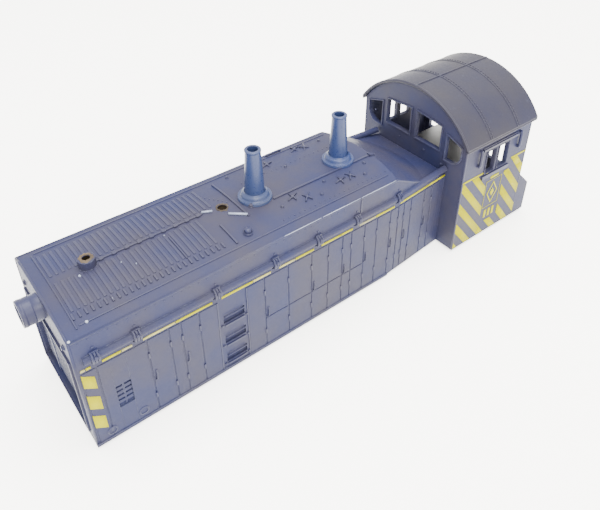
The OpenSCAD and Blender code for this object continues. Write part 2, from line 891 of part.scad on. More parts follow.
wheel_on(-pickup_x + axle_dx, 1);  // pickup_wheel_front_left
wheel_on(-pickup_x + axle_dx, -1);  // pickup_wheel_front_right
axle_on(-pickup_x - axle_dx);  // pickup_axle_rear
wheel_on(-pickup_x - axle_dx, 1);  // pickup_wheel_rear_left
wheel_on(-pickup_x - axle_dx, -1);  // pickup_wheel_rear_right
pickup_arm(1);  // pickup_arm_front
pickup_arm(-1);  // pickup_arm_rear
pickup_roller(1);  // pickup_roller_front
pickup_roller(-1);  // pickup_roller_rear
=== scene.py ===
"""Toy end-cab switcher locomotive: finish, fine relief, trim, floor, light and camera.

Lengths are in millimetres in the CAD frame and turn into metres when a piece is made.
+X is forward, +Y is the locomotive's left, +Z is up.
"""

import json
import math
import random

import bmesh
import bpy
from mathutils import Matrix, Vector


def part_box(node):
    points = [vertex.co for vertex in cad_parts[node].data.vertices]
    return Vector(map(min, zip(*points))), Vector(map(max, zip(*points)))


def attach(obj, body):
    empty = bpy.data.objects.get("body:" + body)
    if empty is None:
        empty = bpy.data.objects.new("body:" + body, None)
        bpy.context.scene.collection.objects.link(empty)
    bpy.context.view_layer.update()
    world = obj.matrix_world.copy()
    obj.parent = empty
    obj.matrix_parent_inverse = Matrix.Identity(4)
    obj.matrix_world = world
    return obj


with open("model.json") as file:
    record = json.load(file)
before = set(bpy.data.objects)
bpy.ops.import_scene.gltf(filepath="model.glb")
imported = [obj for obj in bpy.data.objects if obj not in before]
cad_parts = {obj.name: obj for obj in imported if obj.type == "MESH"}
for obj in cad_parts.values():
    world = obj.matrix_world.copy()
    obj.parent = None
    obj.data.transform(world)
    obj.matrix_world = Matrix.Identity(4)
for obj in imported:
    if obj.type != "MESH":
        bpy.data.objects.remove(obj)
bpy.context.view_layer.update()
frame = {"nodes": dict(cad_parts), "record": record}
MM = 0.001
UP, AHEAD = Vector((0, 0, 1)), Vector((1, 0, 0))
rng = random.Random(7)


def corner(node, high):
    """A CAD node's lowest or highest corner, in millimetres."""
    return Vector(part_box(node)[1 if high else 0]) / MM


# Body stations, read from the frame.
FRONT_X = corner("radiator_grille", True).x + 1.1
CAB_FRONT_X = corner("cab_shell", True).x
CAB_BACK_X = corner("cab_shell", False).x
CAB_HALF = corner("cab_shell", True).y
SKIRT_Z = corner("hood_shell", False).z
TAIL_X = corner("rear_toolbox", False).x
NOSE_X = corner("headlight_housing", True).x
ROOF_APEX_Z = corner("cab_roof", True).z
EAVE_Z = corner("cab_roof", False).z
EAVE_HALF = corner("cab_roof", True).y
STACK_TOP_Z = corner("stack_front", True).z

# The hood's shape, as in the CAD.
HOOD_HALF = 25.75
HOOD_REAR_HALF = 22.8
ROOF_Z = SKIRT_Z + 54
CROWN = 2.2
CROWN_R = (HOOD_HALF**2 + CROWN**2) / (2 * CROWN)
TAPER_X = -28.5
SLOPE_TOP_X = -30
SLOPE_FOOT_X = -48
DECK_DROP = 9.8
DECK_Z = ROOF_Z - DECK_DROP
DECK_REAR_Z = DECK_Z - 3.2
SLOPE = DECK_DROP / (SLOPE_TOP_X - SLOPE_FOOT_X)
SLOPE_CROWN = 3.8
BARREL_R = 41
BARREL_Z = ROOF_APEX_Z - BARREL_R

# Raised pieces: default height, tightest corner a border mitres, and angle that is rounded.
PROUD = 0.25
SHARPEST_MITRE = 0.5
SHARP_EDGE = math.radians(40)


# Surfaces. Each takes two coordinates and gives a point and an outward normal.


def hood_half(x):
    """Half the hood's width at x."""
    if x >= TAPER_X:
        return HOOD_HALF
    return HOOD_HALF - (HOOD_HALF - HOOD_REAR_HALF) * (TAPER_X - x) / (TAPER_X - CAB_FRONT_X)


def roof_height(x, y):
    """Height of the hood's top over the floor."""
    level = ROOF_Z + CROWN - CROWN_R + math.sqrt(CROWN_R**2 - y * y)
    slope = ROOF_Z + SLOPE * (x - SLOPE_TOP_X) + SLOPE_CROWN * (1 - (y / HOOD_HALF) ** 2)
    deck = DECK_Z + (DECK_Z - DECK_REAR_Z) * (x - SLOPE_FOOT_X) / (SLOPE_FOOT_X - CAB_FRONT_X)
    return min(level, max(slope, min(deck, DECK_Z)))


def hood_side(side):
    return lambda x, z: (Vector((x, side * hood_half(x), z)), Vector((0, side, 0)))


def hood_top(x, y):
    return Vector((x, y, roof_height(x, y))), Vector((0, y / CROWN_R, 1)).normalized()


def wall_x(x, facing):
    return lambda y, z: (Vector((x, y, z)), Vector((facing, 0, 0)))


def cab_side(side):
    return lambda x, z: (Vector((x, side * CAB_HALF, z)), Vector((0, side, 0)))


def rectangle(u0, u1, v0, v1):
    """An outline's four corners."""
    return [(u0, v0), (u1, v0), (u1, v1), (u0, v1)]


def barrel(x, degrees):
    """The cab roof: x along it, and degrees from the ridge towards +Y."""
    a = math.radians(degrees)
    out = Vector((0, math.sin(a), math.cos(a)))
    return Vector((x, 0, BARREL_Z)) + out * BARREL_R, out


class Piece:
    """Collects faces in millimetres, then becomes one object that rides on a body."""

    def __init__(self):
        self.bm = bmesh.new()

    def sheet(self, surface, us, vs, low, high):
        """A raised pad over a grid of surface coordinates, from height low to height high."""
        bottom, top = [], []
        for u in us:
            for grid, h in ((bottom, low), (top, high)):
                grid.append([])
                for v in vs:
                    p, n = surface(u, v)
                    grid[-1].append(self.bm.verts.new((p + n * h) * MM))
        last_u, last_v = len(us) - 1, len(vs) - 1
        for i in range(last_u):
            for j in range(last_v):
                for grid in (bottom, top):
                    near, far = grid[i], grid[i + 1]
                    self.bm.faces.new([near[j], far[j], far[j + 1], near[j + 1]])
        for i in range(last_u):
            for j in (0, last_v):
                self.bm.faces.new([bottom[i][j], bottom[i + 1][j], top[i + 1][j], top[i][j]])
        for j in range(last_v):
            for i in (0, last_u):
                self.bm.faces.new([bottom[i][j], bottom[i][j + 1], top[i][j + 1], top[i][j]])

    def pad(self, surface, u0, u1, v0, v1, high=PROUD, low=-0.15, steps=(1, 1)):
        """A raised rectangular pad, split into steps where the surface curves."""
        us = [u0 + (u1 - u0) * i / steps[0] for i in range(steps[0] + 1)]
        vs = [v0 + (v1 - v0) * j / steps[1] for j in range(steps[1] + 1)]
        self.sheet(surface, us, vs, low, high)

    def outline(self, surface, points, high=PROUD, low=-0.1):
        """A raised pad with any outline."""
        rings = []
        for h in (low, high):
            ring = []
            for u, v in points:
                p, n = surface(u, v)
                ring.append(self.bm.verts.new((p + n * h) * MM))
            rings.append(ring)
        self.bm.faces.new(rings[0][::-1])
        self.bm.faces.new(rings[1])
        for i in range(len(points)):
            j = (i + 1) % len(points)
            self.bm.faces.new([rings[0][i], rings[0][j], rings[1][j], rings[1][i]])

    def border(self, surface, inner, width, high=0.5, low=-0.1):
        """A raised frame of one width around an opening, with mitred corners."""
        n = len(inner)
        cu = sum(p[0] for p in inner) / n
        cv = sum(p[1] for p in inner) / n
        outer = []
        for i, (u, v) in enumerate(inner):
            before, after = inner[i - 1], inner[(i + 1) % n]
            shift = Vector((0, 0))
            for a, b in ((before, (u, v)), ((u, v), after)):
                along = Vector((b[0] - a[0], b[1] - a[1])).normalized()
                across = Vector((along.y, -along.x))
                if across.dot(Vector((u - cu, v - cv))) < 0:
                    across = -across
                shift += across
            shift *= 2 * width / max(shift.length_squared, SHARPEST_MITRE)
            outer.append((u + shift.x, v + shift.y))
        loops = []
        for pts, h in ((inner, low), (inner, high), (outer, high), (outer, low)):
            loop = []
            for u, v in pts:
                p, normal = surface(u, v)
                loop.append(self.bm.verts.new((p + normal * h) * MM))
            loops.append(loop)
        for a, b in zip(loops, loops[1:] + loops[:1]):
            for i in range(n):
                j = (i + 1) % n
                self.bm.faces.new([a[i], a[j], b[j], b[i]])

    def lathe(self, point, normal, profile, sides=12):
        """A turned knob: profile is radius and height pairs from the foot to the top."""
        normal = Vector(normal).normalized()
        a = normal.orthogonal().normalized()
        b = normal.cross(a)
        rings = []
        for r, h in profile:
            if r == 0:
                rings.append([self.bm.verts.new((point + normal * h) * MM)])
                continue
            rings.append([])
            for k in range(sides):
                t = 2 * math.pi * k / sides
                out = a * math.cos(t) + b * math.sin(t)
                rings[-1].append(self.bm.verts.new((point + normal * h + out * r) * MM))
        for low, high in zip(rings, rings[1:]):
            for k in range(sides):
                m = (k + 1) % sides
                if len(low) == 1 and len(high) == 1:
                    continue
                if len(high) == 1:
                    self.bm.faces.new([low[k], low[m], high[0]])
                elif len(low) == 1:
                    self.bm.faces.new([low[0], high[m], high[k]])
                else:
                    self.bm.faces.new([low[k], low[m], high[m], high[k]])

    def rivet(self, surface, u, v, r=0.4):
        p, n = surface(u, v)
        self.lathe(p, n, [(r, -0.1), (r, r * 0.35), (r * 0.65, r * 0.7), (0, r * 0.8)], 8)

    def bolt(self, surface, u, v, r=0.8, h=0.9):
        """A hexagon head on a washer."""
        p, n = surface(u, v)
        self.lathe(p, n, [(r * 1.3, -0.1), (r * 1.3, h * 0.3), (r * 1.1, h * 0.38)], 12)
        self.lathe(p, n, [(r, h * 0.2), (r, h * 0.8), (r * 0.75, h), (0, h * 1.02)], 6)

    def tube(self, points, r, sides=8):
        """A round bar along a path of points."""
        pts = [Vector(p) for p in points]
        last = len(pts) - 1
        rings = []
        up = None
        for i, p in enumerate(pts):
            along = (pts[min(i + 1, last)] - pts[max(i - 1, 0)]).normalized()
            if up is None:
                up = along.orthogonal().normalized()
            up = (up - along * up.dot(along)).normalized()
            side = along.cross(up)
            ring = []
            for k in range(sides):
                t = 2 * math.pi * k / sides
                out = up * math.cos(t) + side * math.sin(t)
                ring.append(self.bm.verts.new((p + out * r) * MM))
            rings.append(ring)
        for a, b in zip(rings, rings[1:]):
            for k in range(sides):
                m = (k + 1) % sides
                self.bm.faces.new([a[k], a[m], b[m], b[k]])
        self.bm.faces.new(rings[0][::-1])
        self.bm.faces.new(rings[-1])

    def make(self, name, material, body="chassis", bevel=0.12):
        """Turns the faces into an object with rounded edges, which rides on a body."""
        bmesh.ops.recalc_face_normals(self.bm, faces=self.bm.faces)
        mesh = bpy.data.meshes.new(name)
        self.bm.to_mesh(mesh)
        self.bm.free()
        obj = bpy.data.objects.new(name, mesh)
        bpy.context.scene.collection.objects.link(obj)
        mesh.materials.append(material)
        for face in mesh.polygons:
            face.use_smooth = True
        if bevel:
            rounding = obj.modifiers.new("rounding", "BEVEL")
            rounding.width = bevel * MM
            rounding.segments = 2
            rounding.limit_method = "ANGLE"
            rounding.angle_limit = SHARP_EDGE
            rounding.harden_normals = True
        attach(obj, body)


# Materials.


def new_material(name):
    """A new material with its nodes and links."""
    material = bpy.data.materials.new(name)
    material.use_nodes = True
    return material, material.node_tree.nodes, material.node_tree.links


def noise_node(nodes, links, coords, scale, detail=4.0, rough=0.55):
    node = nodes.new("ShaderNodeTexNoise")
    node.inputs["Scale"].default_value = scale
    node.inputs["Detail"].default_value = detail
    node.inputs["Roughness"].default_value = rough
    links.new(coords.outputs["Object"], node.inputs["Vector"])
    return node.outputs["Fac"]


def band(nodes, links, value, low, high):
    """value mapped so that low gives 0 and high gives 1, clamped."""
    node = nodes.new("ShaderNodeMapRange")
    node.inputs["From Min"].default_value = low
    node.inputs["From Max"].default_value = high
    links.new(value, node.inputs["Value"])
    return node.outputs["Result"]


def mix_colour(nodes, links, fac, a, b):
    """Goes from a to b, each a colour or a socket, as the socket fac goes from 0 to 1."""
    node = nodes.new("ShaderNodeMix")
    node.data_type = "RGBA"
    colour_inputs = [s for s in node.inputs if s.type == "RGBA"]
    for socket, value in zip(colour_inputs, (a, b)):
        if isinstance(value, tuple):
            socket.default_value = (*value, 1.0)
        else:
            links.new(value, socket)
    links.new(fac, node.inputs[0])
    return [s for s in node.outputs if s.type == "RGBA"][0]


def product(nodes, links, a, b):
    node = nodes.new("ShaderNodeMath")
    node.operation = "MULTIPLY"
    for socket, value in zip(node.inputs, (a, b)):
        if isinstance(value, float):
            socket.default_value = value
        else:
            links.new(value, socket)
    return node.outputs[0]


# Texture scales, in cycles per metre, and the fillet that shows wear and a painted highlight on
# rounded edges.
MOTTLE_SCALE, SCUFF_SCALE, GLOSS_SCALE, GRAIN_SCALE = 45.0, 420.0, 900.0, 2500.0
WEAR_AND_SHEEN_RADIUS = 0.45 * MM
GRAIN_DEPTH = 0.05 * MM


def finish_material(
    name, colour, mottle, scuff, roughness, metallic=0.0, grain=0.0, grain_scale=GRAIN_SCALE,
    edge=None, spec=0.5,
):
    """A worked finish: mottled colour, scuffs, uneven gloss, fine grain, and edges lightened for
    wear and as a painted highlight.
    """
    material, nodes, links = new_material(name)
    shader = nodes["Principled BSDF"]
    shader.inputs["Metallic"].default_value = metallic
    shader.inputs["Specular IOR Level"].default_value = spec
    coords = nodes.new("ShaderNodeTexCoord")
    broad = noise_node(nodes, links, coords, MOTTLE_SCALE)
    fine = noise_node(nodes, links, coords, SCUFF_SCALE, 6.0, 0.65)
    spots = noise_node(nodes, links, coords, GLOSS_SCALE, 3.0, 0.7)
    tone = mix_colour(nodes, links, band(nodes, links, broad, 0.35, 0.65), colour, mottle)
    worn = product(nodes, links, band(nodes, links, fine, 0.62, 0.78), 0.6)
    tone = mix_colour(nodes, links, worn, tone, scuff)
    # Rounded edges are lightened: wear, and a painted highlight where the edges catch the light.
    if edge:
        bevel = nodes.new("ShaderNodeBevel")
        bevel.samples = 6
        bevel.inputs["Radius"].default_value = WEAR_AND_SHEEN_RADIUS
        geometry = nodes.new("ShaderNodeNewGeometry")
        dot = nodes.new("ShaderNodeVectorMath")
        dot.operation = "DOT_PRODUCT"
        links.new(bevel.outputs["Normal"], dot.inputs[0])
        links.new(geometry.outputs["Normal"], dot.inputs[1])
        rounded = band(nodes, links, dot.outputs["Value"], 0.97, 0.75)
        edge_wear_and_sheen = product(nodes, links, rounded, band(nodes, links, fine, 0.38, 0.62))
        tone = mix_colour(nodes, links, product(nodes, links, edge_wear_and_sheen, 0.55), tone, edge)
    links.new(tone, shader.inputs["Base Color"])
    gloss = nodes.new("ShaderNodeMapRange")
    gloss.inputs["From Min"].default_value = 0.3
    gloss.inputs["From Max"].default_value = 0.7
    gloss.inputs["To Min"].default_value = roughness - 0.06
    gloss.inputs["To Max"].default_value = roughness + 0.08
    links.new(spots, gloss.inputs["Value"])
    links.new(gloss.outputs["Result"], shader.inputs["Roughness"])
    if grain:
        texture = noise_node(nodes, links, coords, grain_scale, 2.0, 0.5)
        bump = nodes.new("ShaderNodeBump")
        bump.inputs["Strength"].default_value = grain
        bump.inputs["Distance"].default_value = GRAIN_DEPTH
        links.new(texture, bump.inputs["Height"])
        if edge:
            links.new(bevel.outputs["Normal"], bump.inputs["Normal"])
        links.new(bump.outputs["Normal"], shader.inputs["Normal"])
    return material


NAVY = (0.0160, 0.0185, 0.049)
NAVY_WARM = (0.0260, 0.0248, 0.041)
NAVY_SCUFF = (0.034, 0.039, 0.062)
# Lighter navy for rounded edges: wear and a painted highlight.
NAVY_WEAR_AND_SHEEN = (0.12, 0.13, 0.17)
FADED, FADED_WARM = (0.0122, 0.0122, 0.0262), (0.0180, 0.0165, 0.0235)
# Lighter, bluer navy for the stacks and their rings: painted light on the same moulded plastic.
STACK_NAVY_LIT, STACK_NAVY_LIT_WARM = (0.0150, 0.0255, 0.080), (0.019, 0.028, 0.070)
YELLOW, YELLOW_DULL, YELLOW_SCUFF = (0.27, 0.255, 0.0), (0.25, 0.23, 0.0), (0.13, 0.12, 0.01)

body = finish_material(
    "moulded_blue", NAVY, NAVY_WARM, NAVY_SCUFF, 0.47, grain=0.25, edge=NAVY_WEAR_AND_SHEEN, spec=0.12
)
trim = finish_material(
    "moulded_blue_trim", NAVY, NAVY_WARM, NAVY_SCUFF, 0.38, grain=0.2, spec=0.2
)
faded = finish_material(
    "faded_blue", FADED, FADED_WARM, NAVY_SCUFF, 0.47, grain=0.25, edge=NAVY_WEAR_AND_SHEEN, spec=0.2
)
# Glossier blue for the stacks, whose lighter colour is painted light.
glossy_lit_blue = finish_material(
    "polished_blue", STACK_NAVY_LIT, STACK_NAVY_LIT_WARM, NAVY_SCUFF, 0.30, grain=0.2, edge=NAVY_WEAR_AND_SHEEN, spec=0.3
)
yellow = finish_material(
    "yellow_paint", YELLOW, YELLOW_DULL, YELLOW_SCUFF, 0.5, grain=0.2, spec=0.03
)
worn_yellow = finish_material(
    "worn_yellow_paint", (0.30, 0.27, 0.03), (0.13, 0.12, 0.05), (0.04, 0.04, 0.06), 0.42, grain=0.3
)
burr = finish_material(
    "chipped_plastic", (0.09, 0.065, 0.04), (0.02, 0.017, 0.016), (0.42, 0.38, 0.33), 0.6,
    grain=0.6, spec=0.1,
)
# Near-black brown for the bottoms of the holes: painted shade inside them.
hole_shade = finish_material(
    "hole_deposit", (0.006, 0.004, 0.002), (0.012, 0.008, 0.004), (0.05, 0.03, 0.015), 0.75,
    grain=0.6, spec=0.05,
)
# Pale grey-blue for small bright marks: painted glints and highlights, not the plastic's own
# colour.
glint = finish_material(
    "rubbed_plastic", (0.26, 0.28, 0.34), (0.15, 0.17, 0.24), (0.48, 0.50, 0.54), 0.3, grain=0.2
)

# The slots the record names: colour, mottle, scuff, roughness, metallic, grain, grain scale.
SLOT_FINISHES = {
    "sheet_steel": (
        (0.46, 0.46, 0.45), (0.40, 0.40, 0.40), (0.30, 0.27, 0.23), 0.36, 1.0, 0.3, 1400.0,
    ),
    "turned_steel": (
        (0.55, 0.55, 0.56), (0.48, 0.48, 0.49), (0.34, 0.31, 0.28), 0.26, 1.0, 0.3, 3000.0,
    ),
    "brass": ((0.66, 0.46, 0.17), (0.56, 0.38, 0.14), (0.30, 0.20, 0.09), 0.3, 1.0, 0.25),
    "copper": ((0.64, 0.29, 0.15), (0.52, 0.23, 0.12), (0.30, 0.14, 0.09), 0.34, 1.0, 0.3),
    "zinc_black": (
        (0.030, 0.030, 0.032), (0.022, 0.022, 0.024), (0.10, 0.095, 0.09), 0.46, 0.0, 0.5, 1100.0,
    ),
    "ballast": ((0.17, 0.17, 0.18), (0.12, 0.12, 0.125), (0.27, 0.25, 0.23), 0.62, 0.6, 0.9, 700.0),
    "magnet": ((0.05, 0.05, 0.055), (0.035, 0.035, 0.04), (0.10, 0.10, 0.11), 0.6, 0.2, 0.6, 900.0),
    "insulator": (
        (0.17, 0.075, 0.032), (0.12, 0.05, 0.022), (0.26, 0.15, 0.08), 0.5, 0.0, 0.4, 900.0,
    ),
    "white_plastic": ((0.72, 0.70, 0.62), (0.64, 0.61, 0.53), (0.42, 0.38, 0.32), 0.4, 0.0, 0.25),
    "carbon": ((0.03, 0.03, 0.03), (0.02, 0.02, 0.02), (0.07, 0.07, 0.07), 0.55, 0.0, 0.5),
    "wire": ((0.025, 0.024, 0.024), (0.02, 0.02, 0.02), (0.06, 0.06, 0.06), 0.5, 0.0, 0.2),
}
FINISHES = {"body_blue": body}
for slot_name, row in SLOT_FINISHES.items():
    FINISHES[slot_name] = finish_material(slot_name, *row)


def glass(name, colour, roughness):
    """Clear glass or plastic with a faint haze."""
    material, nodes, links = new_material(name)
    shader = nodes["Principled BSDF"]
    shader.inputs["Transmission Weight"].default_value = 0.85
    shader.inputs["IOR"].default_value = 1.47
    coords = nodes.new("ShaderNodeTexCoord")
    cloud = noise_node(nodes, links, coords, 300.0)
    dimmer = tuple(0.8 * c for c in colour)
    tone = mix_colour(nodes, links, band(nodes, links, cloud, 0.4, 0.7), colour, dimmer)
    links.new(tone, shader.inputs["Base Color"])
    haze = nodes.new("ShaderNodeMapRange")
    haze.inputs["To Min"].default_value = roughness
    haze.inputs["To Max"].default_value = roughness + 0.12
    links.new(cloud, haze.inputs["Value"])
    links.new(haze.outputs["Result"], shader.inputs["Roughness"])
    return material


FINISHES["lens"] = glass("clear_lens", (0.86, 0.89, 0.93), 0.06)
FINISHES["bulb"] = glass("bulb_glass", (0.96, 0.92, 0.80), 0.04)

# Nodes whose finish differs from their slot's.
OWN_FINISH = {
    "cab_roof": faded,
    # The stacks take a lighter blue: painted light.
    "stack_front": glossy_lit_blue,
    "stack_rear": glossy_lit_blue,
    "headlight_housing": trim,
}

for part in frame["record"]["subparts"]:
    node = frame["nodes"][part["node"]]
    material = OWN_FINISH.get(part["node"], FINISHES[part["material_slot"]])
    node.data.materials.clear()
    node.data.materials.append(material)


# Hood roof: stations are distances behind the hood's front face.


def back(distance):
    """X of a station this far behind the hood's front face."""
    return FRONT_X - distance


CENTRE_Y = -3
LOUVRE_PITCH, LOUVRE_START, LOUVRE_HALF, LOUVRE_HIGH = 2.3, 6.5, 0.55, 0.26
RIB_START, RIB_HALF = 5.6, 0.42

# Rows of louvres either side of the centre seam: how many, and from which Y to which.
louvres = Piece()
for count, y0, y1 in ((25, -1, 14.6), (29, -20, -5)):
    for i in range(count):
        x = back(LOUVRE_START + i * LOUVRE_PITCH)
        louvres.pad(hood_top, x - LOUVRE_HALF, x + LOUVRE_HALF, y0, y1, LOUVRE_HIGH, steps=(1, 5))
louvres.make("roof_louvres", trim, bevel=0.16)

ribs = Piece()
for i in range(26):
    x = back(RIB_START + i * LOUVRE_PITCH)
    ribs.pad(hood_top, x - RIB_HALF, x + RIB_HALF, 15.4, 18.2, 0.5)
ribs.make("roof_ribs", trim, bevel=0.2)

# Straight seams: rear and front distance, Y from and to, height, and steps along each.
SEAMS = (
    (5.2, 4.6, -22, 22, 0.4, (1, 10)),
    (49.3, 48.7, 1, 15, 0.45, (1, 4)),
    (80.4, 79.6, -19, 9, 0.6, (1, 8)),
    (68.4, 67.6, 7, 19, 0.6, (1, 4)),
    (148, 94, 5.4, 6.4, 0.55, (6, 1)),
    (149.5, 146.5, 4.9, 6.9, 1.1, (1, 1)),
    (144, 6, 20.6, 21.2, 0.3, (6, 1)),
    (144, 6, -23, -22.4, 0.3, (6, 1)),
)
# The wavy centre seam is a bead with nine wider knuckles.
seams = Piece()
seams.pad(hood_top, back(66), back(21), CENTRE_Y - 0.35, CENTRE_Y + 0.35, 0.55)
for i in range(9):
    x = back(24 + i * 5)
    seams.pad(hood_top, x - 0.8, x + 0.8, CENTRE_Y - 0.9, CENTRE_Y + 0.9, 0.75)
for rear, ahead, y0, y1, high, steps in SEAMS:
    seams.pad(hood_top, back(rear), back(ahead), y0, y1, high, steps=steps)
seams.make("roof_seams", trim, bevel=0.15)

# Two small roof grab bars in the pale glint colour: their brightness is a painted highlight.
bars = Piece()
bars.tube([(back(66.2), -4, 58.1), (back(70), -2, 58.2)], 0.45)
bars.tube([(back(74.2), 3.2, 58.1), (back(80), 8, 58)], 0.5)
bars.make("roof_grab_bars", glint, bevel=0)

# Painted highlight along the hood's top edge: short bright runs where the moulded corner has been
# handled and catches the light.
HIGHLIGHT_RUNS = {1: ((85, 103), (104, 124), (124.8, 144.5)), -1: ((30, 41), (92, 104))}
highlight_edge = Piece()
for side, runs in HIGHLIGHT_RUNS.items():
    for a, b in runs:
        start = (back(a), side * 25.62, 55.75)
        middle = (back((a + b) / 2), side * 25.64, 55.78)
        end = (back(b), side * 25.62, 55.75)
        highlight_edge.tube([start, middle, end], 0.13, 6)
highlight_edge.make("worn_hood_edge", glint, bevel=0)


def latch(piece, x, y, turn, reach=3.1):
    """A crossed wire latch over the roof doors."""
    z = roof_height(x, y)
    for angle, share in ((turn, 1.0), (turn + 75, 0.8)):
        dx = share * reach * math.cos(math.radians(angle))
        dy = share * reach * math.sin(math.radians(angle))
        piece.tube([(x - dx, y - dy, z + 0.1), (x - 0.3 * dx, y - 0.3 * dy, z + 0.5),
                    (x + 0.3 * dx, y + 0.3 * dy, z + 0.5), (x + dx, y + dy, z + 0.1)], 0.3, 6)
    piece.lathe(Vector((x, y, z)), UP, [(0.8, 0), (0.8, 0.55), (0.45, 0.85), (0, 0.9)], 8)


# Distance behind the hood's front, Y and turn in degrees.
LATCHES = (
    (101, 9.5, 20), (106, 13, 40), (124.5, 12.3, 10), (130, 12.2, 50),
    (124.5, -20, 25), (129, -18.6, 60), (101, -14, 35), (107, -17, 15),
)
latches = Piece()
for distance, y, turn in LATCHES:
    latch(latches, back(distance), y, turn)
latches.make("roof_latches", trim, bevel=0)

SMALL_BOLTS = (
    (94, 12), (112, 15), (118, 9), (136, 15), (141, 9), (88, -20), (98, -8), (112, -10), (138, -19),
)
bolts = Piece()
bolts.bolt(hood_top, back(74.4), 16.5, 1.5, 2.2)
bolts.bolt(hood_top, back(84), 4.5, 0.9, 1.2)
for distance, y in SMALL_BOLTS:
    bolts.bolt(hood_top, back(distance), y, 0.6, 0.7)
for i in range(11):
    bolts.rivet(hood_top, back(67 + i * 1.1), -20 + i * 1.6, 0.35)
for i in range(22):
    bolts.rivet(hood_top, back(90 + i * 2.6), 18.6, 0.3)
    bolts.rivet(hood_top, back(90 + i * 2.6), -11.5, 0.3)
lift_ring = [(111, 55.4), (111.4, 56.6), (119, 56.6), (119.4, 55.4)]
bolts.tube([(back(distance), -24.0, z) for distance, z in lift_ring], 0.5)
bolts.make("roof_bolts", trim, bevel=0)

# Small raised flecks on the hood's top in the glint colour: painted glints.
# Distance behind the hood's front, Y and radius.
FLECKS = (
    (8.6, 20.9, 0.55), (14.6, 0.7, 0.45), (19.4, 17, 0.25), (33, 7, 0.25),
    (29, 3.2, 0.2), (48, -0.5, 0.2), (0.9, 25.0, 0.5),
)
flecks = Piece()
for distance, y, r in FLECKS:
    p, n = hood_top(back(distance), y)
    flecks.lathe(p, n, [(r, -0.1), (r, 0.25), (r * 0.6, 0.5), (0, 0.55)], 10)
flecks.make("rubbed_flecks", glint, bevel=0)


def ragged_ring(piece, centre, r_in, r_out, height, steps=36, roughness=0.35):
    """A torn lip of plastic around a hole."""
    rings = []
    for r, h in ((r_in, -0.6), (r_in, 1.0), ((r_in + r_out) / 2, 1.15), (r_out, 0.0)):
        ring = []
        for k in range(steps):
            t = 2 * math.pi * k / steps
            rr = r + rng.uniform(-roughness, roughness) * (0.25 if r == r_in else 0.8)
            hh = h * height * rng.uniform(0.55, 1.35) if h > 0 else h * height
            lip = Vector((rr * math.cos(t), rr * math.sin(t), hh))
            ring.append(piece.bm.verts.new((centre + lip) * MM))
        rings.append(ring)
    for a, b in zip(rings, rings[1:]):
        for k in range(steps):
            m = (k + 1) % steps
            piece.bm.faces.new([a[k], a[m], b[m], b[k]])


BOSS_TOP = Vector((back(19), CENTRE_Y, corner("hood_shell", True).z))
HOLE = Vector((back(74.5), -2, roof_height(back(74.5), -2)))
chips = Piece()
ragged_ring(chips, BOSS_TOP, 1.55, 2.6, 0.35)
chips.make("boss_chipped_rim", burr, bevel=0)
rim = Piece()
ragged_ring(rim, HOLE, 2.02, 2.75, 0.3, roughness=0.5)
rim.make("drilled_hole_rim", burr, bevel=0)
# Dark discs sunk in the boss's hole and the drilled hole: painted shade where the holes are deep.
shade_plugs = Piece()
for centre, r, depth in ((BOSS_TOP, 1.45, 2.2), (HOLE, 1.95, 1.5)):
    foot = centre - Vector((0, 0, depth))
    shade_plugs.lathe(foot, UP, [(0, 0.0), (r * 0.7, 0.05), (r, 0.5), (r, depth - 0.3)], 24)
shade_plugs.make("hole_residue", hole_shade, bevel=0)

# Hood edges: a moulded round along the top of the sides and the front.
EDGE_R = 0.55
EDGE_IN = 0.35
edges = Piece()
for side in (-1, 1):
    y = side * (HOOD_HALF - EDGE_IN)
    path = [(FRONT_X - 0.4, y, ROOF_Z - 0.25), (TAPER_X, y, ROOF_Z - 0.25)]
    for x, top in ((SLOPE_TOP_X, ROOF_Z), (SLOPE_FOOT_X, DECK_Z), (CAB_FRONT_X, DECK_REAR_Z)):
        path.append((x, side * (hood_half(x) - EDGE_IN), top - 0.3))
    edges.tube(path, EDGE_R, 10)
    corner_x = FRONT_X - EDGE_IN
    edges.tube([(corner_x, y, SKIRT_Z + 0.6), (corner_x, y, ROOF_Z - 0.3)], EDGE_R, 10)
arch = []
for i in range(13):
    y = (HOOD_HALF - EDGE_IN) * (i / 6 - 1)
    arch.append((FRONT_X - 0.4, y, roof_height(FRONT_X - 1, y) - 0.3))
edges.tube(arch, EDGE_R, 10)
edges.make("hood_edges", trim, bevel=0)

# Hood sides.
DOOR_TOP = SKIRT_Z + 38.6
DOOR_FOOT = SKIRT_Z + 0.5
RAIL_Z = SKIRT_Z + 44
STRIPE_Z = SKIRT_Z + 40
DOOR_SEAMS = (
    1.2, 6.6, 24.8, 33.3, 38.1, 45.5, 53.4, 66.3, 74.5, 86.1, 98, 106.9, 114.7, 119.7, 127.3, 134.6,
    142.8, 148, 152, 157, 166.5, 171.9, 177.4,
)
VENT_DOOR, FOOTHOLD_DOOR = DOOR_SEAMS[1], DOOR_SEAMS[6]
SPLIT_FROM, SPLIT_TO = 74, 120
BRACKETS = (7, 21.8, 53.5, 79.9, 101.3, 122.3, 147.1)
MID_SEAM_Z = SKIRT_Z + 17
GAP = 0.32
SLAT_HALF = 0.62
VENT_LOW = -1.3

STRAP_R = 2.05


def strap_face(side):
    """The upper outer face of the straps that hold the rail."""
    tilt = Vector((0, side, 0.35)).normalized()
    return lambda x, z: (Vector((x, side * (hood_half(x) + 1.9), z)), tilt)


